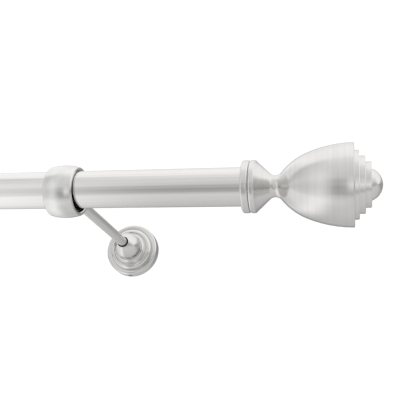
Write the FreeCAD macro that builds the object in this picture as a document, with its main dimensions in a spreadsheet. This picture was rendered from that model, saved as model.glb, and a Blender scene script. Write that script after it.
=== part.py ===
"""Curtain rod on two wall brackets, with a turned bell finial on each end.

Frame: +Z up, the wall is the plane Y = 0 and the room lies towards -Y. The origin is on the
wall, halfway between the brackets, at the height of their arms. The rod runs along X.
"""
import FreeCAD, Part
import math
import os
import re
import Sketcher
from FreeCAD import Placement, Rotation, Vector

# Driving sizes in millimetres, and degrees where the name says angle.
SIZES = {
    # rod
    "tube_length": 1000.0,
    "tube_diameter": 25.0,
    "tube_wall": 1.0,
    "tube_edge": 0.3,
    # bracket: where it stands and how far it carries the rod
    "bracket_inset": 120.7,
    "wall_projection": 150.0,
    # ring round the rod, its bore larger than the rod by the play
    "ring_width": 20.0,
    "ring_swell": 1.45,
    "ring_rim_wall": 2.4,
    "ring_play": 1.5,
    "ring_shoulder": 1.2,
    "ring_bore_edge": 0.4,
    # locking grub screw, its head turned towards the wall from straight down
    "lock_angle": 30.0,
    "rod_lift": 1.2,
    "grub_radius": 2.0,
    "grub_edge": 0.35,
    "lock_screw_length": 5.8,
    "socket_radius": 1.15,
    "socket_depth": 2.0,
    # arm
    "arm_radius": 3.75,
    "arm_edge": 0.4,
    "thread_radius": 3.0,
    "arm_seat": 0.75,
    # plate against the wall; its radius follows from the cover
    "plate_thickness": 6.0,
    "plate_edge": 0.6,
    "boss_radius": 7.5,
    "boss_height": 15.0,
    "thread_depth": 11.0,
    # wall screws
    "screw_radius": 2.0,
    "screw_shank_radius": 1.45,
    "screw_thread_gap": 0.3,
    "screw_hole_play": 0.25,
    "screw_head_radius": 4.0,
    "screw_head_height": 2.4,
    "screw_length": 25.0,
    "screw_point": 5.0,
    "cross_width": 1.0,
    "cross_length": 4.4,
    "cross_depth": 1.6,
    # stepped cover over the plate, from the dome outwards and from the plate upwards
    "cover_play": 1.0,
    "cover_rim_wall": 3.4,
    "cover_top_gap": 0.5,
    "cover_top_wall": 1.5,
    "cover_rim_curve": 2.0,
    "cover_groove_depth": 0.6,
    "cover_groove_width": 2.2,
    "cover_bead_curve": 3.7,
    "cover_bead_ledge": 0.85,
    "cover_cove_curve": 2.65,
    "dome_boss_gap": 1.9,
    "dome_straight": 4.75,
    "dome_rise": 12.3,
    "dome_wall": 1.6,
    "arm_hole_play": 1.3,
    "cover_screw_height": 3.4,
    "cover_screw_length": 3.9,
    # finial: adapter that plugs into the rod
    "plug_length": 30.0,
    "flange_overhang": 4.3,
    "flange_width": 4.9,
    "flange_curve": 1.4,
    "sleeve_wall_gap": 0.05,
    "sleeve_thickness": 2.95,
    "rib_depth": 0.7,
    "rib_width": 2.4,
    "sleeve_margin": 2.0,
    # finial: threaded stud
    "stud_inner": 10.0,
    "stud_outer": 15.0,
    # finial: turned head, lengths from its back face
    "head_disc_width": 4.0,
    "cone_length": 8.4,
    "cone_end_radius": 8.15,
    "neck_length": 6.8,
    "neck_curve": 5.0,
    "bell_foot_radius": 8.4,
    "bell_foot_length": 1.8,
    "bell_knee_radius": 10.5,
    "bell_lower_length": 13.9,
    "bell_lower_curve": 40.8,
    "bell_middle_radius": 20.4,
    "bell_upper_length": 29.0,
    "bell_upper_curve": 73.7,
    "bell_rim_radius": 26.1,
    "bell_rim_edge": 0.7,
    "cavity_floor": 30.0,
    "cavity_floor_radius": 9.0,
    "cavity_ledge": 2.4,
    # finial: stepped cap in the mouth of the bell
    "cap_seat_depth": 6.0,
    "cap_play": 0.1,
    "bell_rim_wall": 4.8,
    "step_one_height": 2.8,
    "step_two_inset": 3.5,
    "step_two_height": 3.6,
    "step_three_inset": 3.7,
    "step_three_height": 3.65,
    "step_edge": 0.35,
    # finial: ball tip
    "tip_sphere_radius": 10.6,
    "tip_height": 6.8,
    "tip_stem_radius": 2.5,
    "tip_stem_length": 12.0,
    # play between a screw or stem and its hole, and the gap of a screw that just touches
    "thread_play": 0.05,
    "touch_gap": 0.05,
}
OVERSHOOT = 1.0

# Sizes that follow from the driving ones.
TUBE_RADIUS = "(tube_diameter / 2)"
TUBE_BORE = "(tube_diameter / 2 - tube_wall)"
RING_BORE = "(tube_diameter / 2 + ring_play)"
RING_RIM = f"({RING_BORE} + ring_rim_wall)"
RING_CREST = f"({RING_RIM} + ring_swell)"
RING_CURVE = "(((ring_width / 2) ^ 2 + ring_swell ^ 2) / (2 * ring_swell))"
BRACKET_X = "(tube_length / 2 - bracket_inset)"
ROD_Y = "(-wall_projection - rod_lift * sin(lock_angle))"
ROD_Z = "(rod_lift * cos(lock_angle))"
ARM_END = f"(wall_projection - {RING_CREST} + arm_seat)"
THREAD_HOLE = "(thread_radius + thread_play)"
GRUB_HOLE = "(grub_radius + thread_play)"
ARM_HOLE = "(arm_radius + arm_hole_play)"
DOME_RADIUS = "(boss_radius + dome_boss_gap + dome_wall)"
BEAD_INNER = f"({DOME_RADIUS} + cover_cove_curve + cover_bead_ledge)"
GROOVE_RADIUS = f"({BEAD_INNER} + cover_bead_curve)"
COVER_RADIUS = f"({GROOVE_RADIUS} + cover_groove_width + cover_rim_curve)"
BORE_RADIUS = f"({COVER_RADIUS} - cover_rim_wall)"
BORE_DEPTH = "(plate_thickness + cover_top_gap)"
BEAD_BASE = f"({BORE_DEPTH} + cover_top_wall)"
RIM_HEIGHT = f"({BEAD_BASE} + cover_groove_depth)"
BEAD_TOP = f"({BEAD_BASE} + cover_bead_curve)"
DOME_FOOT = f"({BEAD_TOP} + cover_cove_curve)"
DOME_STRAIGHT_TOP = f"({DOME_FOOT} + dome_straight)"
DOME_TOP = f"({DOME_STRAIGHT_TOP} + dome_rise)"
DOME_DROP = f"({DOME_RADIUS} - {ARM_HOLE})"
DOME_CURVE = f"((dome_rise ^ 2 + {DOME_DROP} ^ 2) / (2 * {DOME_DROP}))"
DOME_INNER_CURVE = f"({DOME_CURVE} - dome_wall)"
DOME_INNER_TOP = (f"({DOME_STRAIGHT_TOP} + sqrt({DOME_INNER_CURVE} ^ 2"
                  f" - ({DOME_CURVE} - {DOME_DROP}) ^ 2))")
PLATE_RADIUS = f"({BORE_RADIUS} - cover_play)"
WALL_SCREW_OFFSET = f"((boss_radius + {PLATE_RADIUS}) / 2)"
SINK_DEPTH = ("((screw_head_radius - screw_radius) * screw_head_height"
              " / (screw_head_radius - screw_shank_radius))")
FLANGE_FACE = "(plug_length + flange_width)"
FLANGE_RADIUS = f"({TUBE_RADIUS} + flange_overhang)"
SLEEVE_RADIUS = f"({TUBE_BORE} - sleeve_wall_gap)"
SPIGOT_RADIUS = f"({SLEEVE_RADIUS} - sleeve_thickness)"
STEP_ONE_RADIUS = "(bell_rim_radius - bell_rim_wall)"
STEP_TWO_RADIUS = f"({STEP_ONE_RADIUS} - step_two_inset)"
STEP_THREE_RADIUS = f"({STEP_TWO_RADIUS} - step_three_inset)"
STEM_HOLE = "(tip_stem_radius + thread_play)"

doc = FreeCAD.newDocument("CurtainRod")
sheet = doc.addObject("Spreadsheet::Sheet", "Sizes")
for row, (alias, value) in enumerate(SIZES.items(), start=1):
    sheet.set(f"A{row}", alias)
    sheet.set(f"B{row}", str(value))
    sheet.setAlias(f"B{row}", alias)
doc.recompute()

SUB_PARTS = []


def cells(expression):
    """The expression with every size read from the sheet."""
    def from_sheet(word):
        name = word.group()
        return f"Sizes.{name}" if name in SIZES else name
    return re.sub(r"[a-z_]+", from_sheet, str(expression))


def number(expression):
    """What the expression comes to with the present sizes."""
    return float(sheet.evalExpression(cells(expression)))


def bind(item, name, expression):
    item.setExpression(name, cells(expression))


def place(item, x="0", y="0", z="0", turn=Rotation()):
    """Put an object at a place that follows the sheet."""
    item.Placement = Placement(Vector(number(x), number(y), number(z)), turn)
    for letter, expression in zip("xyz", (x, y, z)):
        bind(item, f"Placement.Base.{letter}", expression)


def new_body(label):
    body = doc.addObject("PartDesign::Body", label)
    body.Label = label
    SUB_PARTS.append(body)
    return body


def arc_geometry(start, end, radius, turn):
    """The short arc from start to end, turn +1 anticlockwise and -1 clockwise."""
    chord = end - start
    height = math.sqrt(max(radius ** 2 - (chord.Length / 2) ** 2, 0.0))
    left = Vector(-chord.y, chord.x, 0).normalize()
    centre = (start + end) * 0.5 + left * (height * turn)
    first, last = (start, end) if turn > 0 else (end, start)
    angle_first = math.atan2(first.y - centre.y, first.x - centre.x)
    angle_last = math.atan2(last.y - centre.y, last.x - centre.x)
    circle = Part.Circle(centre, Vector(0, 0, 1), radius)
    return Part.ArcOfCircle(circle, angle_first, angle_last)


def pin_point(sketch, geometry, end, x, y):
    """Hold one end of a piece of geometry at (x, y), each an expression."""
    for kind, axis, expression in (("DistanceX", -2, x), ("DistanceY", -1, y)):
        if str(expression) == "0":
            sketch.addConstraint(Sketcher.Constraint("PointOnObject", geometry, end, axis))
            continue
        constraint = Sketcher.Constraint(kind, -1, 1, geometry, end, number(expression))
        index = sketch.addConstraint(constraint)
        bind(sketch, f"Constraints[{index}]", expression)


def outline_sketch(body, name, outline):
    """A closed outline on the body's XZ plane: along its X axis, and out from it.

    Each entry is (x, y) for a straight line from the entry before, or
    (x, y, radius, turn) for an arc.
    """
    sketch = body.newObject("Sketcher::SketchObject", name)
    planes = {feature.Role: feature for feature in body.Origin.OriginFeatures}
    sketch.AttachmentSupport = (planes["XZ_Plane"], [""])
    sketch.MapMode = "FlatFace"
    points = [Vector(number(entry[0]), number(entry[1]), 0) for entry in outline]
    ends = []
    for index, entry in enumerate(outline):
        start = points[index - 1]
        end = points[index]
        if len(entry) == 2:
            geometry = sketch.addGeometry(Part.LineSegment(start, end))
            ends.append((geometry, 1, 2))
            continue
        radius, turn = entry[2:]
        geometry = sketch.addGeometry(arc_geometry(start, end, number(radius), turn))
        ends.append((geometry, 1, 2) if turn > 0 else (geometry, 2, 1))
        constraint = Sketcher.Constraint("Radius", geometry, number(radius))
        bind(sketch, f"Constraints[{sketch.addConstraint(constraint)}]", radius)
    for index, entry in enumerate(outline):
        geometry, _, last = ends[index]
        following, first, _ = ends[(index + 1) % len(ends)]
        sketch.addConstraint(Sketcher.Constraint("Coincident", geometry, last, following, first))
        pin_point(sketch, geometry, last, entry[0], entry[1])
    return sketch


def turned(label, outline):
    """A body turned about its own X axis from a closed outline."""
    body = new_body(label)
    sketch = outline_sketch(body, f"{label}_outline", outline)
    turning = body.newObject("PartDesign::Revolution", f"{label}_turning")
    turning.Profile = sketch
    turning.ReferenceAxis = (sketch, ["H_Axis"])
    turning.Angle = 360.0
    sketch.Visibility = False
    doc.recompute()
    return body


def drilled(body, name, radius, height, x="0", y="0", z="0", turn=Rotation()):
    """A round hole that starts at (x, y, z) and runs along the turned Z axis."""
    before = body.Shape.Volume
    hole = body.newObject("PartDesign::SubtractiveCylinder", f"{body.Label}_{name}")
    bind(hole, "Radius", radius)
    bind(hole, "Height", height)
    place(hole, x, y, z, turn)
    doc.recompute()
    if body.Shape.Volume >= before:
        raise ValueError(f"{hole.Label} cuts nothing")


def hex_socket(body, name, far_end):
    """A hexagon socket sunk into the end of a grub screw."""
    before = body.Shape.Volume
    socket = body.newObject("PartDesign::SubtractivePrism", f"{body.Label}_{name}")
    socket.Polygon = 6
    bind(socket, "Circumradius", "socket_radius")
    bind(socket, "Height", "socket_depth")
    place(socket, x=f"{far_end} - socket_depth", turn=ALONG_X)
    doc.recompute()
    if body.Shape.Volume >= before:
        raise ValueError(f"{socket.Label} cuts nothing")


def rounded(body, name, kind, size, wanted):
    """A fillet or chamfer on the round edges that wanted(edge) picks."""
    base = body.Tip
    edges = [f"Edge{number_from_one}"
             for number_from_one, edge in enumerate(base.Shape.Edges, start=1)
             if edge.Curve.TypeId == "Part::GeomCircle" and wanted(edge)]
    if not edges:
        raise ValueError(f"{body.Label} has no edge for {name}")
    dressing = body.newObject(f"PartDesign::{kind}", f"{body.Label}_{name}")
    dressing.Base = (base, edges)
    bind(dressing, "Radius" if kind == "Fillet" else "Size", size)
    doc.recompute()


def has_radius(expression):
    """A test for edges of one radius."""
    radius = number(expression)
    return lambda edge: abs(edge.Curve.Radius - radius) < 1e-4


ALONG_X = Rotation(Vector(0, 1, 0), 90)
TOWARDS_WALL = Rotation(Vector(1, 0, 0), -90)
STRAIGHT_DOWN = Rotation(Vector(1, 0, 0), 180)
FROM_WALL = Rotation(Vector(0, 0, 1), -90)
CROSS_SLOTS = {"flat": ("cross_width", "cross_length"), "upright": ("cross_length", "cross_width")}
LOCK_DIRECTION = Vector(0, number("sin(lock_angle)"), -number("cos(lock_angle)"))


def rod_tube():
    """The plain round tube, with its four rims just broken."""
    tube = turned("rod_tube", [
        ("0", TUBE_BORE),
        ("tube_length", TUBE_BORE),
        ("tube_length", f"{TUBE_RADIUS} - tube_edge"),
        ("tube_length - tube_edge", TUBE_RADIUS),
        ("tube_edge", TUBE_RADIUS),
        ("0", f"{TUBE_RADIUS} - tube_edge"),
    ])
    place(tube, "-tube_length / 2", ROD_Y, ROD_Z)


def bracket_ring(side, sign):
    """The barrel-shaped ring, with the arm's seat at its back and the lock screw's hole."""
    ring = turned(f"bracket_ring_{side}", [
        ("0", RING_BORE),
        ("ring_width", RING_BORE),
        ("ring_width", RING_RIM),
        ("0", RING_RIM, RING_CURVE, 1),
    ])
    rounded(ring, "shoulder", "Fillet", "ring_shoulder", has_radius(RING_RIM))
    rounded(ring, "bore_edge", "Chamfer", "ring_bore_edge", has_radius(RING_BORE))
    middle = "ring_width / 2"
    drilled(ring, "arm_thread", THREAD_HOLE, f"{RING_CREST} + {OVERSHOOT}", x=middle,
            turn=TOWARDS_WALL)
    drilled(ring, "arm_seat", "arm_radius + thread_play", f"arm_seat + {OVERSHOOT}", x=middle,
            y=f"{RING_CREST} - arm_seat", turn=TOWARDS_WALL)
    drilled(ring, "lock_thread", GRUB_HOLE, f"{RING_CREST} + {OVERSHOOT}", x=middle,
            turn=Rotation(Vector(1, 0, 0), 180 + number("lock_angle")))
    place(ring, f"{sign} * {BRACKET_X} - ring_width / 2", "-wall_projection")


def grub_screw(label, length):
    """A socket grub screw along its own X axis, its point at the origin."""
    screw = turned(label, [
        ("0", "0"),
        (length, "0"),
        (length, "grub_radius - grub_edge"),
        (f"{length} - grub_edge", "grub_radius"),
        ("grub_edge * 2", "grub_radius"),
        ("0", "grub_radius - grub_edge * 2"),
    ])
    hex_socket(screw, "socket", length)
    return screw


def ring_lock_screw(side, sign):
    """The grub screw that presses the rod up against the front of the ring."""
    screw = grub_screw(f"ring_lock_screw_{side}", "lock_screw_length")
    reach = f"({TUBE_RADIUS} - rod_lift + touch_gap)"
    place(screw, f"{sign} * {BRACKET_X}", f"{reach} * sin(lock_angle) - wall_projection",
          f"-{reach} * cos(lock_angle)", Rotation(Vector(1, 0, 0), LOCK_DIRECTION))


def bracket_arm(side, sign):
    """The straight round arm, threaded at both ends."""
    arm = turned(f"bracket_arm_{side}", [
        ("boss_height - thread_depth + touch_gap", "0"),
        ("boss_height - thread_depth + touch_gap", "thread_radius - arm_edge"),
        ("boss_height - thread_depth + touch_gap + arm_edge", "thread_radius"),
        ("boss_height", "thread_radius"),
        ("boss_height", "arm_radius - arm_edge"),
        ("boss_height + arm_edge", "arm_radius"),
        (f"{ARM_END} - arm_edge", "arm_radius"),
        (ARM_END, "arm_radius - arm_edge"),
        (ARM_END, "thread_radius"),
        (f"wall_projection - {RING_BORE} - touch_gap", "thread_radius"),
        (f"wall_projection - {RING_BORE} - touch_gap", "0"),
    ][::-1])
    place(arm, f"{sign} * {BRACKET_X}", turn=FROM_WALL)


def wall_plate(side, sign):
    """The round plate with a threaded boss for the arm and two countersunk holes."""
    plate = turned(f"wall_plate_{side}", [
        ("0", "0"),
        ("boss_height", "0"),
        ("boss_height", "boss_radius - plate_edge"),
        ("boss_height - plate_edge", "boss_radius"),
        ("plate_thickness", "boss_radius"),
        ("plate_thickness", f"{PLATE_RADIUS} - plate_edge"),
        ("plate_thickness - plate_edge", PLATE_RADIUS),
        ("0", PLATE_RADIUS),
    ])
    drilled(plate, "arm_thread", THREAD_HOLE, f"thread_depth + {OVERSHOOT}",
            x="boss_height - thread_depth", turn=ALONG_X)
    for name, way in (("upper", "1"), ("lower", "-1")):
        height = f"{way} * {WALL_SCREW_OFFSET}"
        drilled(plate, f"{name}_hole", "screw_radius + screw_hole_play",
                f"plate_thickness + 2 * {OVERSHOOT}", x=f"-{OVERSHOOT}", z=height, turn=ALONG_X)
        sink = plate.newObject("PartDesign::SubtractiveCone", f"{plate.Label}_{name}_sink")
        bind(sink, "Radius1", "screw_radius + screw_hole_play")
        bind(sink, "Radius2", "screw_head_radius + screw_hole_play")
        bind(sink, "Height", SINK_DEPTH)
        place(sink, f"plate_thickness - {SINK_DEPTH}", z=height, turn=ALONG_X)
        doc.recompute()
    place(plate, f"{sign} * {BRACKET_X}", turn=FROM_WALL)


def wall_screws(side, sign):
    """The two countersunk screws that hold the plate, in one node."""
    thread_end = "(screw_length - plate_thickness - screw_thread_gap)"
    screws = []
    for name, way in (("upper", "1"), ("lower", "-1")):
        screw = turned(f"wall_screw_{side}_{name}", [
            ("0", "0"),
            ("screw_length", "0"),
            ("screw_length", "screw_head_radius"),
            ("screw_length - screw_head_height", "screw_shank_radius"),
            (thread_end, "screw_shank_radius"),
            (thread_end, "screw_radius"),
            ("screw_point", "screw_radius"),
        ])
        SUB_PARTS.remove(screw)
        for direction, (deep, wide) in CROSS_SLOTS.items():
            before = screw.Shape.Volume
            slot = screw.newObject("PartDesign::SubtractiveBox",
                                   f"{screw.Label}_slot_{direction}")
            bind(slot, "Length", f"cross_depth + {OVERSHOOT}")
            bind(slot, "Width", wide)
            bind(slot, "Height", deep)
            place(slot, "screw_length - cross_depth", f"-{wide} / 2", f"-{deep} / 2")
            doc.recompute()
            if screw.Shape.Volume >= before:
                raise ValueError(f"{slot.Label} cuts nothing")
        place(screw, f"{sign} * {BRACKET_X}", "screw_length - plate_thickness",
              f"{way} * {WALL_SCREW_OFFSET}", FROM_WALL)
        screws.append(screw)
    pair = doc.addObject("Part::Compound", f"wall_screws_{side}")
    pair.Label = f"wall_screws_{side}"
    pair.Links = screws
    SUB_PARTS.append(pair)


def rosette_cover(side, sign):
    """The stepped cover: rounded rim, groove, bead, cove and a tall dome round the arm."""
    cover = turned(f"rosette_cover_{side}", [
        ("0", BORE_RADIUS),
        (BORE_DEPTH, BORE_RADIUS),
        (BORE_DEPTH, f"{BEAD_INNER} - cover_top_wall"),
        (f"{BEAD_TOP} - cover_top_wall", f"{BEAD_INNER} - cover_top_wall"),
        (f"{BEAD_TOP} - cover_top_wall", f"{DOME_RADIUS} - dome_wall"),
        (DOME_STRAIGHT_TOP, f"{DOME_RADIUS} - dome_wall"),
        (DOME_INNER_TOP, ARM_HOLE, DOME_INNER_CURVE, -1),
        (DOME_TOP, ARM_HOLE),
        (DOME_STRAIGHT_TOP, DOME_RADIUS, DOME_CURVE, 1),
        (DOME_FOOT, DOME_RADIUS),
        (BEAD_TOP, f"{DOME_RADIUS} + cover_cove_curve", "cover_cove_curve", -1),
        (BEAD_TOP, BEAD_INNER),
        (BEAD_BASE, GROOVE_RADIUS, "cover_bead_curve", 1),
        (RIM_HEIGHT, f"{COVER_RADIUS} - cover_rim_curve"),
        (f"{RIM_HEIGHT} - cover_rim_curve", COVER_RADIUS, "cover_rim_curve", 1),
        ("0", COVER_RADIUS),
    ])
    drilled(cover, "screw_thread", GRUB_HOLE, f"{COVER_RADIUS} + {OVERSHOOT}", x="cover_screw_height",
            turn=STRAIGHT_DOWN)
    place(cover, f"{sign} * {BRACKET_X}", turn=FROM_WALL)


def cover_screw(side, sign):
    """The grub screw under the cover's rim that holds it on the plate."""
    screw = grub_screw(f"cover_screw_{side}", "cover_screw_length")
    place(screw, f"{sign} * {BRACKET_X}", "-cover_screw_height",
          f"-{PLATE_RADIUS} - touch_gap", Rotation(Vector(1, 0, 0), Vector(0, 0, -1)))


def place_on_rod_end(body, sign):
    """Finial pieces start at the inner end of the plug and run out of the rod."""
    turn = Rotation() if sign > 0 else Rotation(Vector(0, 0, 1), 180)
    place(body, f"{sign} * (tube_length / 2 - plug_length)", ROD_Y, ROD_Z, turn)


def end_adapter(side, sign):
    """The flange that closes the rod's end, on a spigot that plugs into it."""
    adapter = turned(f"end_adapter_{side}", [
        ("0", "0"),
        (FLANGE_FACE, "0"),
        (FLANGE_FACE, f"{FLANGE_RADIUS} - flange_curve"),
        (f"{FLANGE_FACE} - flange_curve", FLANGE_RADIUS, "flange_curve", 1),
        ("plug_length + flange_curve", FLANGE_RADIUS),
        ("plug_length", f"{FLANGE_RADIUS} - flange_curve", "flange_curve", 1),
        ("plug_length", SPIGOT_RADIUS),
        ("0", SPIGOT_RADIUS),
    ])
    drilled(adapter, "stud_thread", THREAD_HOLE, f"stud_inner + flange_width + {OVERSHOOT}",
            x="plug_length - stud_inner", turn=ALONG_X)
    place_on_rod_end(adapter, sign)


def tube_sleeve(side, sign):
    """The ribbed plastic sleeve between the spigot and the rod."""
    start = "sleeve_margin"
    end = "(plug_length - sleeve_margin)"
    rib_count = max(2, int((number("plug_length") - 2 * number("sleeve_margin"))
                           // (2 * number("rib_width"))))
    pitch = f"(({end} - {start} - rib_width) / {rib_count - 1})"
    outline = []
    for rib in range(rib_count):
        rib_start = f"({start} + {rib} * {pitch})"
        valley = f"({SLEEVE_RADIUS} - rib_depth)"
        if rib:
            outline.append((rib_start, valley))
        outline.append((rib_start, SLEEVE_RADIUS))
        outline.append((f"{rib_start} + rib_width", SLEEVE_RADIUS))
        if rib < rib_count - 1:
            outline.append((f"{rib_start} + rib_width", valley))
    outline.append((end, f"{SPIGOT_RADIUS} + thread_play"))
    outline.append((start, f"{SPIGOT_RADIUS} + thread_play"))
    sleeve = turned(f"tube_sleeve_{side}", outline[::-1])
    place_on_rod_end(sleeve, sign)


def finial_stud(side, sign):
    """The threaded stud that draws the head onto the adapter."""
    inner = "(plug_length - stud_inner + touch_gap)"
    outer = f"({FLANGE_FACE} + stud_outer)"
    stud = turned(f"finial_stud_{side}", [
        (inner, "0"),
        (outer, "0"),
        (outer, "thread_radius - arm_edge"),
        (f"{outer} - arm_edge", "thread_radius"),
        (f"{inner} + arm_edge", "thread_radius"),
        (inner, "thread_radius - arm_edge"),
    ])
    place_on_rod_end(stud, sign)


def head_length():
    """From the head's back face to the rim of the bell."""
    stretches = ("head_disc_width", "cone_length", "neck_length", "bell_foot_length",
                 "bell_lower_length", "bell_upper_length")
    return "(" + " + ".join(stretches) + ")"


def finial_head(side, sign):
    """Collar disc, cone, narrow neck and bell, turned in one piece, hollow at the mouth."""
    disc = f"({FLANGE_FACE} + head_disc_width)"
    cone = f"({disc} + cone_length)"
    neck = f"({cone} + neck_length)"
    foot = f"({neck} + bell_foot_length)"
    middle = f"({foot} + bell_lower_length)"
    rim = f"({FLANGE_FACE} + {head_length()})"
    seat_radius = f"({STEP_ONE_RADIUS} + cap_play)"
    head = turned(f"finial_head_{side}", [
        (FLANGE_FACE, "0"),
        (f"{FLANGE_FACE} + cavity_floor", "0"),
        (f"{FLANGE_FACE} + cavity_floor", "cavity_floor_radius"),
        (f"{rim} - cap_seat_depth", f"{seat_radius} - cavity_ledge"),
        (f"{rim} - cap_seat_depth", seat_radius),
        (rim, seat_radius),
        (rim, "bell_rim_radius - bell_rim_edge"),
        (f"{rim} - bell_rim_edge", "bell_rim_radius", "bell_rim_edge", 1),
        (middle, "bell_middle_radius", "bell_upper_curve", 1),
        (foot, "bell_knee_radius", "bell_lower_curve", 1),
        (neck, "bell_foot_radius"),
        (cone, "cone_end_radius", "neck_curve", -1),
        (disc, f"{FLANGE_RADIUS} - flange_curve / 2"),
        (f"{disc} - flange_curve", FLANGE_RADIUS, "flange_curve", 1),
        (f"{FLANGE_FACE} + flange_curve", FLANGE_RADIUS),
        (FLANGE_FACE, f"{FLANGE_RADIUS} - flange_curve", "flange_curve", 1),
    ])
    drilled(head, "stud_thread", THREAD_HOLE, f"stud_outer + touch_gap + {OVERSHOOT}",
            x=f"{FLANGE_FACE} - {OVERSHOOT}", turn=ALONG_X)
    place_on_rod_end(head, sign)


def finial_cap(side, sign):
    """Three flat steps that close the mouth of the bell, bored for the tip's stem."""
    seat = f"({FLANGE_FACE} + {head_length()} - cap_seat_depth)"
    first = f"({seat} + cap_seat_depth + step_one_height)"
    second = f"({first} + step_two_height)"
    third = f"({second} + step_three_height)"
    cap = turned(f"finial_cap_{side}", [
        (seat, STEM_HOLE),
        (third, STEM_HOLE),
        (third, f"{STEP_THREE_RADIUS} - step_edge"),
        (f"{third} - step_edge", STEP_THREE_RADIUS),
        (second, STEP_THREE_RADIUS),
        (second, f"{STEP_TWO_RADIUS} - step_edge"),
        (f"{second} - step_edge", STEP_TWO_RADIUS),
        (first, STEP_TWO_RADIUS),
        (first, f"{STEP_ONE_RADIUS} - step_edge"),
        (f"{first} - step_edge", STEP_ONE_RADIUS),
        (seat, STEP_ONE_RADIUS),
    ])
    place_on_rod_end(cap, sign)


def ball_tip(side, sign):
    """The low ball on the last step, with its stem through the cap."""
    face = (f"({FLANGE_FACE} + {head_length()} + step_one_height + step_two_height"
            " + step_three_height)")
    base_radius = "sqrt(2 * tip_sphere_radius * tip_height - tip_height ^ 2)"
    tip = turned(f"ball_tip_{side}", [
        (f"{face} - tip_stem_length", "0"),
        (f"{face} + tip_height", "0"),
        (face, base_radius, "tip_sphere_radius", 1),
        (face, "tip_stem_radius"),
        (f"{face} - tip_stem_length", "tip_stem_radius"),
    ])
    place_on_rod_end(tip, sign)


rod_tube()
for side_name, side_sign in (("left", -1), ("right", 1)):
    for make in (bracket_ring, ring_lock_screw, bracket_arm, wall_plate, wall_screws,
                 rosette_cover, cover_screw, end_adapter, tube_sleeve, finial_stud,
                 finial_head, finial_cap, ball_tip):
        make(side_name, side_sign)
doc.recompute()

for item in doc.Objects:
    if {"Invalid", "Error"} & set(item.State):
        raise ValueError(f"{item.Label} failed: {item.State}")
for sub_part in SUB_PARTS:
    if sub_part.Shape.isNull() or not sub_part.Shape.isValid():
        raise ValueError(f"{sub_part.Label} has no valid shape")

os.makedirs("parts", exist_ok=True)
for sub_part in SUB_PARTS:
    sub_part.Shape.exportStep(f"parts/{sub_part.Label}.step")
    box = sub_part.Shape.BoundBox
    print(f"{sub_part.Label}: {len(sub_part.Shape.Solids)} solid(s), "
          f"{sub_part.Shape.Volume:.0f} mm3, X {box.XMin:.1f} to {box.XMax:.1f}, "
          f"Y {box.YMin:.1f} to {box.YMax:.1f}, Z {box.ZMin:.1f} to {box.ZMax:.1f}")
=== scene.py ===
"""The curtain rod's looks: satin nickel on turned, drawn and cast pieces, in a white studio."""

import math

import bpy
from mathutils import Matrix, Vector


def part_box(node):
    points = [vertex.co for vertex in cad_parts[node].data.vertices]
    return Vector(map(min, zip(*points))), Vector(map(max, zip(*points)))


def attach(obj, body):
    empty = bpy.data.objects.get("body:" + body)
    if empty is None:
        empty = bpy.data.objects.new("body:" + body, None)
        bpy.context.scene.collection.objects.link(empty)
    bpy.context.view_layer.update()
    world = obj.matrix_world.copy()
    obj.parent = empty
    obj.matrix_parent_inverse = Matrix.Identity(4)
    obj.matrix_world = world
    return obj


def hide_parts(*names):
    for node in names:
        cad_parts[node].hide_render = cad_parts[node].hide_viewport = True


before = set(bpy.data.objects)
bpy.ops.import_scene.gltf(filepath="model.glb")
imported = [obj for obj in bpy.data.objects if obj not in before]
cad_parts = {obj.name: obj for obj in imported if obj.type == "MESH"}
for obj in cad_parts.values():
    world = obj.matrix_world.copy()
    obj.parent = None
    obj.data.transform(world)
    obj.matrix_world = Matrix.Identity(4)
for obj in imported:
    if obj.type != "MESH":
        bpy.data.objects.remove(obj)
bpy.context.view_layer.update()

MM = 0.001
SIDES = (("left", -1), ("right", 1))


# ---------------------------------------------------------------- places read from the frame

def middle(low, high):
    return (low + high) / 2


rod_low, rod_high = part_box("rod_tube")
ROD_CENTRE = middle(rod_low, rod_high)
ROD_RADIUS = (rod_high.z - rod_low.z) / 2 / MM
ROD_LENGTH = (rod_high.x - rod_low.x) / MM
ring_low, ring_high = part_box("bracket_ring_right")
BRACKET_X = middle(ring_low, ring_high).x
RING_HALF = (ring_high.x - ring_low.x) / 2 / MM
RING_CREST = (ring_high.z - ring_low.z) / 2 / MM
WALL_PROJECTION = -middle(ring_low, ring_high).y / MM
head_low, head_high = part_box("finial_head_right")
HEAD_BACK = head_low.x
BELL_RIM = head_high.x
BELL_RADIUS = (head_high.z - head_low.z) / 2 / MM
HEAD_LENGTH = (head_high.x - head_low.x) / MM
cover_low, cover_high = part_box("rosette_cover_right")
COVER_RADIUS = (cover_high.z - cover_low.z) / 2 / MM
DOME_TOP = -cover_low.y / MM
arm_low, arm_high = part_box("bracket_arm_right")
ARM_RADIUS = (arm_high.z - arm_low.z) / 2 / MM


# ---------------------------------------------------------------- camera

CAMERA_STAND = Vector((-4.2, -379.2, -148.9)) * MM
CAMERA_TURN = math.radians(13.65)
CAMERA_PITCH = math.radians(19.79)
CAMERA_ROLL = math.radians(3.92)
CAMERA_LENS = 58.35


def make_camera():
    """Level with the rim of the right-hand bell, below the rod and looking up at it."""
    data = bpy.data.cameras.new("camera")
    data.lens = CAMERA_LENS
    data.sensor_width = 36.0
    data.clip_start = 0.01
    data.clip_end = 100.0
    camera = bpy.data.objects.new("camera", data)
    bpy.context.scene.collection.objects.link(camera)
    aim = Vector((BELL_RIM, ROD_CENTRE.y, ROD_CENTRE.z))
    facing = (Matrix.Rotation(CAMERA_TURN, 4, "Z")
              @ Matrix.Rotation(math.pi / 2 + CAMERA_PITCH, 4, "X")
              @ Matrix.Rotation(CAMERA_ROLL, 4, "Z"))
    camera.matrix_world = Matrix.Translation(aim + CAMERA_STAND) @ facing
    bpy.context.scene.camera = camera


# ---------------------------------------------------------------- shader maths

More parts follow.
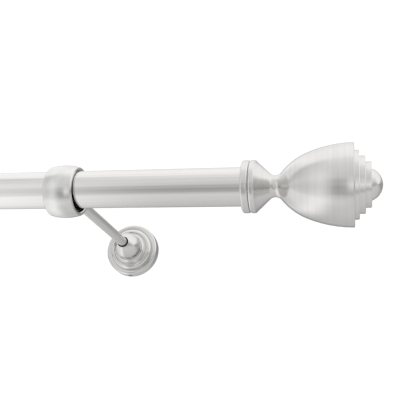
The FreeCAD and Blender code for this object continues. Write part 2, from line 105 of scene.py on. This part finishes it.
class Signal:
    """One output of a shader node, used as a number in plain expressions."""

    def __init__(self, shader, socket):
        self.shader = shader
        self.socket = socket

    def math(self, operation, first, second):
        return self.shader.node("ShaderNodeMath", {"operation": operation},
                                {0: first, 1: second})

    def __add__(self, other):
        return self.math("ADD", self, other)

    __radd__ = __add__

    def __sub__(self, other):
        return self.math("SUBTRACT", self, other)

    def __rsub__(self, other):
        return self.math("SUBTRACT", other, self)

    def __mul__(self, other):
        return self.math("MULTIPLY", self, other)

    __rmul__ = __mul__

    def __truediv__(self, other):
        return self.math("DIVIDE", self, other)


class Shader:
    """A node tree that is filled one node at a time."""

    def __init__(self, tree):
        self.tree = tree
        self.tree.nodes.clear()

    def node(self, kind, settings=None, inputs=None, output=0):
        """Adds a node, sets it up, then fills or links its sockets."""
        made = self.tree.nodes.new(kind)
        for name, value in (settings or {}).items():
            if name == "stops":
                self.set_stops(made.color_ramp, value)
            else:
                setattr(made, name, value)
        for key, value in (inputs or {}).items():
            if isinstance(value, Signal):
                self.tree.links.new(value.socket, made.inputs[key])
            else:
                made.inputs[key].default_value = value
        return Signal(self, made.outputs[output]) if made.outputs else None

    @staticmethod
    def set_stops(ramp, stops):
        """Each stop is a position and a grey level."""
        ramp.interpolation = "EASE"
        while len(ramp.elements) < len(stops):
            ramp.elements.new(1.0)
        for element, (position, grey) in zip(ramp.elements, stops):
            element.position = position
            element.color = (grey, grey, grey, 1.0)

    def ramp(self, place, stops):
        """A grey level that follows the stops as place goes from 0 to 1."""
        return self.node("ShaderNodeValToRGB", {"stops": stops}, {"Fac": place})

    def fade(self, value, start, end):
        """Goes smoothly from 0, where value is start, to 1, where it is end."""
        return self.node("ShaderNodeMapRange", {"interpolation_type": "SMOOTHSTEP"},
                         {"Value": value, "From Min": start, "From Max": end})

    def blend(self, share, first, second, how="MIX"):
        """One colour going over into another, or multiplied by it."""
        return self.node("ShaderNodeMix", {"data_type": "RGBA", "blend_type": how},
                         {"Factor": share, "A": first, "B": second}, output="Result")


# ---------------------------------------------------------------- studio

SKY_TILT = math.radians(21.4)
BACKDROP_STRENGTH = 1.05
FAR_LEFT_DIMMING = 0.20

# Grey levels round the rod: 0 and 1 face the wall, 0.25 is below, 0.5 faces the room and 0.75 is
# overhead.
NEAR_LEVELS = (
    (0.00, 0.30), (0.06, 0.36), (0.13, 0.62), (0.30, 0.72), (0.37, 0.80), (0.41, 0.70),
    (0.436, 0.47), (0.465, 0.46), (0.487, 0.40), (0.505, 0.54), (0.53, 0.52), (0.57, 0.74),
    (0.65, 0.82), (0.70, 0.92), (0.75, 1.10), (0.82, 1.12), (0.92, 0.98), (0.96, 0.55),
    (1.00, 0.30),
)
AHEAD_LEVELS = (
    (0.00, 0.30), (0.06, 0.36), (0.13, 0.60), (0.30, 0.72), (0.40, 0.76), (0.436, 0.56),
    (0.465, 0.78), (0.50, 1.05), (0.535, 0.86), (0.58, 0.74), (0.65, 0.82), (0.70, 0.92),
    (0.75, 1.12), (0.82, 1.14), (0.92, 1.00), (0.96, 0.58), (1.00, 0.30),
)
LEFT_LEVELS = (
    (0.00, 0.36), (0.05, 0.44), (0.12, 0.90), (0.25, 1.15), (0.37, 1.18), (0.43, 0.95),
    (0.49, 0.88), (0.58, 0.98), (0.66, 0.86), (0.71, 0.78), (0.76, 1.15), (0.92, 1.12),
    (0.96, 0.60), (1.00, 0.36),
)
RIGHT_LEVELS = (
    (0.00, 0.40), (0.20, 0.70), (0.42, 0.74), (0.47, 0.52), (0.53, 0.56), (0.59, 0.80),
    (0.75, 1.15), (0.90, 1.10), (1.00, 0.40),
)

# Where each part of the tent takes over, as the sideways part of a direction.
AHEAD_CENTRE = 0.02
AHEAD_FADE = (0.17, 0.05)
LEFT_FADE = (-0.25, -0.55)
FAR_LEFT_FADE = (-0.50, -0.80)
RIGHT_FADE = (0.30, 0.60)


def make_world():
    """A white tent: bright overhead, dim where the camera stands and towards the wall."""
    world = bpy.data.worlds.new("studio")
    bpy.context.scene.world = world
    world.use_nodes = True
    sky = Shader(world.node_tree)
    direction = sky.node("ShaderNodeTexCoord", output="Generated")
    level = sky.node("ShaderNodeVectorRotate", {"rotation_type": "X_AXIS"},
                     {"Vector": direction, "Angle": -SKY_TILT})
    across, back, height = (
        sky.node("ShaderNodeSeparateXYZ", inputs={"Vector": level}, output=axis)
        for axis in "XYZ")
    turn = sky.node("ShaderNodeMath", {"operation": "ARCTAN2"}, {0: height, 1: back * -1.0})
    place = turn / (2 * math.pi) + 0.5
    aside = sky.node("ShaderNodeMath", {"operation": "ABSOLUTE"}, {0: across - AHEAD_CENTRE})
    centre = sky.blend(sky.fade(aside, *AHEAD_FADE), sky.ramp(place, NEAR_LEVELS),
                       sky.ramp(place, AHEAD_LEVELS))
    left_and_centre = sky.blend(sky.fade(across, *LEFT_FADE), centre,
                                sky.ramp(place, LEFT_LEVELS))
    tent = sky.blend(sky.fade(across, *RIGHT_FADE), left_and_centre,
                     sky.ramp(place, RIGHT_LEVELS))
    strength = 1.0 - sky.fade(across, *FAR_LEFT_FADE) * FAR_LEFT_DIMMING
    lit = sky.node("ShaderNodeBackground", inputs={"Color": tent, "Strength": strength})
    plain = sky.node("ShaderNodeBackground",
                     inputs={"Color": (1, 1, 1, 1), "Strength": BACKDROP_STRENGTH})
    camera_ray = sky.node("ShaderNodeLightPath", output="Is Camera Ray")
    shown = sky.node("ShaderNodeMixShader", inputs={0: camera_ray, 1: lit, 2: plain})
    sky.node("ShaderNodeOutputWorld", inputs={"Surface": shown})


FLOOR_DROP = 0.9
FLOOR_WIDTH = 1.9
FLOOR_TONE = (0.78, 0.78, 0.77)
FLOOR_ROUGHNESS = 0.6


def make_floor():
    """A plain pale floor well below the rod; the metal mirrors the tent and not its edge."""
    bpy.ops.mesh.primitive_plane_add(size=FLOOR_WIDTH,
                                     location=(0, ROD_CENTRE.y, ROD_CENTRE.z - FLOOR_DROP))
    floor = bpy.context.object
    floor.name = "floor"
    floor.visible_glossy = False
    floor.data.materials.append(plain_finish("pale_floor", FLOOR_TONE, 0.0, FLOOR_ROUGHNESS))


# Name, place, where along the rod it looks, size and power of each light.
LIGHTS = (
    ("overhead", (0.3, -0.3, 1.3), 0.3, 1.4, 2.0),
    ("front", (-0.6, -1.6, 0.5), 0.2, 0.8, 1.0),
)


def make_light(name, place, aim_x, size, power):
    """A soft square light that looks at the rod; the tent alone shows in the metal."""
    place = Vector(place)
    aim = Vector((aim_x, ROD_CENTRE.y, 0))
    data = bpy.data.lights.new(name, "AREA")
    data.shape = "SQUARE"
    data.size = size
    data.energy = power
    lamp = bpy.data.objects.new(name, data)
    lamp.location = place
    lamp.visible_glossy = False
    lamp.rotation_euler = (aim - place).to_track_quat("-Z", "Y").to_euler()
    bpy.context.scene.collection.objects.link(lamp)


# ---------------------------------------------------------------- turning

ARC_STEP = math.radians(4)
SMOOTH_ANGLE = math.radians(35)
SMALLEST_RADIUS = 0.01 * MM
HOLE_SEGMENTS = 48


def arc_points(start, end, radius, turn):
    """Points of the short arc after start, up to and with end."""
    chord = end - start
    height = math.sqrt(max(radius ** 2 - (chord.length / 2) ** 2, 0.0))
    left = Vector((-chord.y, chord.x)).normalized()
    centre = (start + end) / 2 + left * height * turn
    first = start - centre
    sweep = first.angle_signed(end - centre)
    count = max(2, math.ceil(abs(sweep) / ARC_STEP))
    return [centre + Matrix.Rotation(-sweep * index / count, 2) @ first
            for index in range(1, count + 1)]


def stations(outline):
    """An outline of lines and arcs, in millimetres, as points along and out, in metres.

    An entry is the end of a line, or the end, radius and side of an arc.
    """
    points = []
    for entry in outline:
        end = Vector(entry[:2])
        if len(entry) == 2:
            points.append(end)
        else:
            points.extend(arc_points(points[-1], end, *entry[2:]))
    return [point * MM for point in points]


def lathe(name, outline, start, axis, segments, closed=False):
    """Turns a piece: a circle is drawn along the axis, station by station."""
    points = stations(outline)
    axis = Vector(axis)
    along, radius = points[0].x, max(points[0].y, SMALLEST_RADIUS)
    facing = Vector((0, 0, 1)).rotation_difference(axis)
    bpy.ops.object.select_all(action="DESELECT")
    bpy.ops.mesh.primitive_circle_add(vertices=segments, radius=radius,
                                      location=start + axis * along,
                                      rotation=facing.to_euler())
    piece = bpy.context.object
    piece.name = name
    bpy.ops.object.mode_set(mode="EDIT")
    bpy.ops.mesh.select_all(action="SELECT")
    across = [1.0 if abs(part) > 0.5 else 0.0 for part in axis]
    for point in points[1:] + (points[:1] if closed else []):
        new_radius = max(point.y, SMALLEST_RADIUS)
        bpy.ops.mesh.extrude_region_move(
            TRANSFORM_OT_translate={"value": axis * (point.x - along)})
        scale = new_radius / radius
        bpy.ops.transform.resize(value=[1.0 if part else scale for part in across],
                                 center_override=start + axis * point.x)
        along, radius = point.x, new_radius
    bpy.ops.mesh.select_all(action="SELECT")
    bpy.ops.mesh.remove_doubles(threshold=SMALLEST_RADIUS * 2)
    bpy.ops.mesh.normals_make_consistent(inside=False)
    bpy.ops.object.mode_set(mode="OBJECT")
    bpy.ops.object.transform_apply(location=True, rotation=True, scale=True)
    bpy.ops.object.shade_smooth_by_angle(angle=SMOOTH_ANGLE)
    return piece


def drill(piece, radius, start, direction, depth):
    """A round hole from start along direction, radius and depth in millimetres."""
    turn = Vector((0, 0, 1)).rotation_difference(direction)
    bpy.ops.mesh.primitive_cylinder_add(vertices=HOLE_SEGMENTS, radius=radius * MM,
                                        depth=depth * MM,
                                        location=start + direction * depth * MM / 2,
                                        rotation=turn.to_euler())
    cutter = bpy.context.object
    hole = piece.modifiers.new("hole", "BOOLEAN")
    hole.operation = "DIFFERENCE"
    hole.solver = "EXACT"
    hole.object = cutter
    bpy.context.view_layer.objects.active = piece
    bpy.ops.object.modifier_apply(modifier="hole")
    bpy.data.objects.remove(cutter)
    piece.select_set(True)
    bpy.ops.object.shade_smooth_by_angle(angle=SMOOTH_ANGLE)


# ---------------------------------------------------------------- finishes

ROUGHNESS_SWING = 0.10
BROAD_SHARE = 3.0
GRAIN_DEPTH = 0.0002
MOTTLES_PER_METRE = 400.0
MOTTLE_SWING = 0.12
ZINC_TONE = (0.70, 0.72, 0.75)
ZINC_ROUGHNESS = 0.28
THREAD_BUMP = 0.9


def satin_nickel(name, tone, grain, bands, roughness, streak=0.03, bump=0.02):
    """Nickel with a fine grain and broader bands; both say how often they change per metre."""
    material = bpy.data.materials.new(name)
    material.use_nodes = True
    shader = Shader(material.node_tree)
    place = shader.node("ShaderNodeTexCoord", output="Object")
    noise = []
    for rate in (grain, bands):
        stretched = shader.node("ShaderNodeVectorMath", {"operation": "MULTIPLY"},
                                {0: place, 1: rate})
        noise.append(shader.node("ShaderNodeTexNoise", {"noise_dimensions": "3D"},
                                 {"Vector": stretched, "Scale": 1.0, "Detail": 2.0,
                                  "Roughness": 0.55}))
    lines, broad = noise
    rough = roughness + (lines - 0.5) * ROUGHNESS_SWING + (broad - 0.5) * ROUGHNESS_SWING
    level = 1.0 + (lines - 0.5) * streak + (broad - 0.5) * streak * BROAD_SHARE
    colour = shader.blend(1.0, (*tone, 1.0), level, how="MULTIPLY")
    normal = shader.node("ShaderNodeBump", inputs={"Strength": bump, "Distance": GRAIN_DEPTH,
                                                   "Height": lines + broad})
    metal = shader.node("ShaderNodeBsdfPrincipled", inputs={
        "Base Color": colour, "Metallic": 1.0, "Roughness": rough, "Normal": normal})
    shader.node("ShaderNodeOutputMaterial", inputs={"Surface": metal})
    return material


def plain_finish(name, tone, metallic, roughness):
    """An even finish with a little mottling, for floor, plastic and castings."""
    material = bpy.data.materials.new(name)
    material.use_nodes = True
    shader = Shader(material.node_tree)
    place = shader.node("ShaderNodeTexCoord", output="Object")
    mottle = shader.node("ShaderNodeTexNoise", {"noise_dimensions": "3D"},
                         {"Vector": place, "Scale": MOTTLES_PER_METRE, "Detail": 3.0})
    surface = shader.node("ShaderNodeBsdfPrincipled", inputs={
        "Base Color": (*tone, 1.0), "Metallic": metallic,
        "Roughness": roughness + (mottle - 0.5) * MOTTLE_SWING})
    shader.node("ShaderNodeOutputMaterial", inputs={"Surface": surface})
    return material


def threaded_zinc(name, axis, pitch):
    """Bright zinc with rings along one axis, a pitch apart, for screws and studs."""
    material = bpy.data.materials.new(name)
    material.use_nodes = True
    shader = Shader(material.node_tree)
    place = shader.node("ShaderNodeTexCoord", output="Object")
    along = shader.node("ShaderNodeSeparateXYZ", inputs={"Vector": place}, output=axis)
    ridge = shader.node("ShaderNodeMath", {"operation": "PINGPONG"},
                        {0: along, 1: pitch * MM / 2}) / (pitch * MM / 2)
    normal = shader.node("ShaderNodeBump", inputs={"Strength": THREAD_BUMP,
                                                   "Distance": pitch * MM / 2,
                                                   "Height": ridge})
    metal = shader.node("ShaderNodeBsdfPrincipled", inputs={
        "Base Color": (*ZINC_TONE, 1.0), "Metallic": 1.0, "Roughness": ZINC_ROUGHNESS,
        "Normal": normal})
    shader.node("ShaderNodeOutputMaterial", inputs={"Surface": metal})
    return material


def dress(piece, body, material, node):
    """Finish and ride of one new piece, and hides the CAD node that it stands for."""
    piece.data.materials.clear()
    piece.data.materials.append(material)
    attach(piece, body)
    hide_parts(node)


# ---------------------------------------------------------------- pieces

RING_SWELL = 1.45
RING_RIM = RING_CREST - RING_SWELL
RING_WALL = 2.4
RING_BORE = RING_RIM - RING_WALL
LOCK_ANGLE = math.radians(30)
GRUB_HOLE = 2.05
ROD_WALL = 1.0
ARM_THREAD = 3.0
FLANGE = 16.8
FLANGE_WIDTH = 4.9
FLANGE_EDGE = 1.4
PLUG = 30.0
PLUG_RADIUS = 8.5
STUD_HOLE = 3.05
STUD_INNER = 10.05
STUD_OUTER = 15.05
STEM_LENGTH = 12
STEM_RADIUS = 2.5
SEAT_DEPTH = 6.0


def rod_piece():
    """The plain tube, its edges lightly broken."""
    edge = 0.25
    outline = [(0, ROD_RADIUS - ROD_WALL), (0, ROD_RADIUS - edge), (edge, ROD_RADIUS),
               (ROD_LENGTH - edge, ROD_RADIUS), (ROD_LENGTH, ROD_RADIUS - edge),
               (ROD_LENGTH, ROD_RADIUS - ROD_WALL)]
    start = Vector((rod_low.x, ROD_CENTRE.y, ROD_CENTRE.z))
    return lathe("rod", outline, start, (1, 0, 0), segments=160, closed=True)


def ring_piece(name, x):
    """The barrel with softly rounded rims, and the lock screw's hole low at its back."""
    curve = (RING_HALF ** 2 + RING_SWELL ** 2) / (2 * RING_SWELL)
    bore_edge = 0.4
    face = RING_RIM - 0.9
    shoulder = RING_RIM + 0.2
    shoulder_in = 1.0
    shoulder_curve = 1.1
    outline = [(-RING_HALF, RING_BORE + bore_edge), (-RING_HALF, face),
               (-RING_HALF + shoulder_in, shoulder, shoulder_curve, -1),
               (RING_HALF - shoulder_in, shoulder, curve, -1),
               (RING_HALF, face, shoulder_curve, -1),
               (RING_HALF, RING_BORE + bore_edge), (RING_HALF - bore_edge, RING_BORE),
               (-RING_HALF + bore_edge, RING_BORE)]
    centre = Vector((x, -WALL_PROJECTION * MM, 0))
    ring = lathe(name, outline, centre, (1, 0, 0), segments=192, closed=True)
    outward = Vector((0, math.sin(LOCK_ANGLE), -math.cos(LOCK_ANGLE)))
    hole_start = hole_depth = 10
    drill(ring, GRUB_HOLE, centre + outward * hole_start * MM, outward, hole_depth)
    return ring


def finial_pieces(side, sign):
    """Turned head, collar disc, stepped cap and ball; places run out from the head's back."""
    axis = (sign, 0, 0)
    back = Vector((sign * HEAD_BACK, ROD_CENTRE.y, ROD_CENTRE.z))
    seat = HEAD_LENGTH - SEAT_DEPTH
    mouth = BELL_RADIUS - 4.7
    head = lathe(f"bell_{side}", head_outline(seat, mouth), back, axis, segments=192)
    disc = lathe(f"collar_disc_{side}", [
        (-FLANGE_WIDTH - PLUG, 0), (-FLANGE_WIDTH - PLUG, PLUG_RADIUS),
        (-FLANGE_WIDTH, PLUG_RADIUS), (-FLANGE_WIDTH, FLANGE - FLANGE_EDGE),
        (-FLANGE_WIDTH + FLANGE_EDGE, FLANGE, FLANGE_EDGE, -1), (-FLANGE_EDGE, FLANGE),
        (0, FLANGE - FLANGE_EDGE, FLANGE_EDGE, -1), (0, STUD_HOLE), (-STUD_INNER, STUD_HOLE),
        (-STUD_INNER, 0)], back, axis, segments=160)
    first, second, third = HEAD_LENGTH + 2.8, HEAD_LENGTH + 6.4, HEAD_LENGTH + 10.05
    step_one = mouth - 0.1
    step_two = step_one - 3.5
    step_three = step_two - 3.7
    edge = 0.3
    stem_hole = STEM_RADIUS + 0.05
    cap = lathe(f"stepped_cap_{side}", [
        (seat, stem_hole), (seat, step_one), (first - edge, step_one),
        (first, step_one - edge), (first, step_two), (second - edge, step_two),
        (second, step_two - edge), (second, step_three), (third - edge, step_three),
        (third, step_three - edge), (third, stem_hole)], back, axis, segments=160, closed=True)
    ball_foot = 9.9
    ball_height = 6.8
    ball_curve = 10.6
    ball = lathe(f"ball_{side}", [
        (third - STEM_LENGTH, 0), (third - STEM_LENGTH, STEM_RADIUS), (third, STEM_RADIUS),
        (third, ball_foot), (third + ball_height, 0, ball_curve, -1)], back, axis, segments=128)
    return head, disc, cap, ball


def head_outline(seat, mouth):
    """Second disc, cone, neck and bell, and the hollow in the bell behind the cap's seat."""
    disc_width = 4.0
    disc_drop = 0.7
    cone = disc_width + 8.4
    neck = cone + 6.8
    foot = neck + 1.8
    waist = foot + 13.9
    rim = HEAD_LENGTH
    rim_edge = 0.7
    neck_curve, lower_curve, upper_curve = 5.0, 40.8, 73.7
    cone_end, neck_end, foot_radius, waist_radius = 8.15, 8.4, 10.5, 20.4
    ledge = 2.4
    hollow_floor, hollow_radius = 30, 9.0
    return [
        (STUD_OUTER, 0), (STUD_OUTER, STUD_HOLE), (0, STUD_HOLE), (0, FLANGE - FLANGE_EDGE),
        (FLANGE_EDGE, FLANGE, FLANGE_EDGE, -1), (disc_width - FLANGE_EDGE, FLANGE),
        (disc_width, FLANGE - disc_drop, FLANGE_EDGE, -1), (cone, cone_end),
        (neck, neck_end, neck_curve, 1), (foot, foot_radius),
        (waist, waist_radius, lower_curve, -1),
        (rim - rim_edge, BELL_RADIUS, upper_curve, -1),
        (rim, BELL_RADIUS - rim_edge, rim_edge, -1), (rim, mouth), (seat, mouth),
        (seat, mouth - ledge), (hollow_floor, hollow_radius), (hollow_floor, 0)]


def arm_piece(name, x):
    """The straight arm, its ends stepped down to the threads."""
    edge = 0.4
    inner_end = 4.05
    boss_face = 15.0
    shoulder = WALL_PROJECTION - RING_CREST + 0.75
    outer_end = WALL_PROJECTION - RING_BORE - 0.05
    outline = [(inner_end, 0), (inner_end, ARM_THREAD), (boss_face, ARM_THREAD),
               (boss_face, ARM_RADIUS - edge), (boss_face + edge, ARM_RADIUS),
               (shoulder - edge, ARM_RADIUS), (shoulder, ARM_RADIUS - edge),
               (shoulder, ARM_THREAD), (outer_end, ARM_THREAD), (outer_end, 0)]
    return lathe(name, outline, Vector((x, 0, 0)), (0, -1, 0), segments=64)


def cover_piece(name, x):
    """Rounded rim, shallow valley, bead, cove and dome, with the screw hole under the rim."""
    rim_height, rim_curve, rim_wall = 8.6, 2.0, 3.4
    groove = COVER_RADIUS - 4.2
    bead_curve = 3.7
    bead = groove - bead_curve
    bead_base = 8.0
    bead_top = bead_base + bead_curve
    ledge = 0.85
    ledge_groove, ledge_groove_in = 0.8, 0.4
    cove = 2.65
    dome = bead - ledge - cove
    dome_wall = 1.6
    dome_rise = 12.3
    straight = DOME_TOP - dome_rise
    hole = ARM_RADIUS + 0.9
    drop = dome - hole
    curve = (dome_rise ** 2 + drop ** 2) / (2 * drop)
    plate_room, inner_step, step_in = 6.5, 10.2, 1.5
    outline = [(0, COVER_RADIUS - rim_wall), (0, COVER_RADIUS),
               (rim_height - rim_curve, COVER_RADIUS),
               (rim_height, COVER_RADIUS - rim_curve, rim_curve, -1), (bead_base, groove),
               (bead_top, bead, bead_curve, -1),
               (bead_top - ledge_groove, bead - ledge_groove_in),
               (bead_top - ledge_groove, bead - ledge), (bead_top, dome + cove),
               (bead_top + cove, dome, cove, 1), (straight, dome),
               (DOME_TOP, hole, curve, -1), (DOME_TOP - dome_wall, hole),
               (straight, dome - dome_wall), (inner_step, dome - dome_wall),
               (inner_step, bead - step_in), (plate_room, bead - step_in),
               (plate_room, COVER_RADIUS - rim_wall)]
    cover = lathe(name, outline, Vector((x, 0, 0)), (0, -1, 0), segments=192, closed=True)
    screw_height, hole_start, hole_depth = 3.4, 17, 10
    start = Vector((x, -screw_height * MM, -hole_start * MM))
    drill(cover, GRUB_HOLE, start, Vector((0, 0, -1)), hole_depth)
    return cover


make_camera()
make_world()
make_floor()
for light in LIGHTS:
    make_light(*light)

drawn = satin_nickel("drawn_tube", (0.78, 0.77, 0.755), (40, 5200, 5200), (3, 900, 900), 0.11,
                     streak=0.07)
turned = satin_nickel("turned_nickel", (0.73, 0.72, 0.705), (5200, 60, 60), (700, 10, 10), 0.17,
                      streak=0.05)
cast = satin_nickel("satin_cast", (0.76, 0.755, 0.74), (900, 900, 900), (160, 160, 160), 0.18,
                    streak=0.06, bump=0.12)
matt = satin_nickel("matt_arm", (0.78, 0.775, 0.76), (3000, 60, 3000), (500, 20, 500), 0.34)
spun = satin_nickel("spun_cover", (0.72, 0.715, 0.70), (120, 120, 120), (60, 60, 60), 0.16,
                    bump=0.0)
zinc_along_x = threaded_zinc("zinc_stud", "X", 1.0)
zinc_along_y = threaded_zinc("zinc_screw", "Y", 1.4)
socket_steel = plain_finish("dark_screw", (0.34, 0.34, 0.35), 1.0, 0.32)
casting = plain_finish("plate_casting", (0.60, 0.60, 0.60), 1.0, 0.48)
nylon = plain_finish("sleeve_plastic", (0.84, 0.84, 0.81), 0.0, 0.42)

dress(rod_piece(), "rod", drawn, "rod_tube")
kept_finishes = (("wall_plate", casting), ("wall_screws", zinc_along_y),
                 ("ring_lock_screw", socket_steel), ("cover_screw", socket_steel),
                 ("tube_sleeve", nylon), ("finial_stud", zinc_along_x))
for side, sign in SIDES:
    x = sign * BRACKET_X
    dress(ring_piece(f"ring_{side}", x), "brackets", cast,
          f"bracket_ring_{side}")
    dress(arm_piece(f"arm_{side}", x), "brackets", matt, f"bracket_arm_{side}")
    dress(cover_piece(f"cover_{side}", x), f"cover_{side}", spun,
          f"rosette_cover_{side}")
    head, disc, cap, ball = finial_pieces(side, sign)
    dress(head, f"finial_{side}", turned, f"finial_head_{side}")
    dress(disc, f"finial_{side}", turned, f"end_adapter_{side}")
    dress(cap, f"finial_{side}", turned, f"finial_cap_{side}")
    dress(ball, f"finial_{side}", turned, f"ball_tip_{side}")
    for node, finish in kept_finishes:
        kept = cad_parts[f"{node}_{side}"]
        kept.data.materials.clear()
        kept.data.materials.append(finish)

bpy.context.scene.view_settings.view_transform = "Standard"
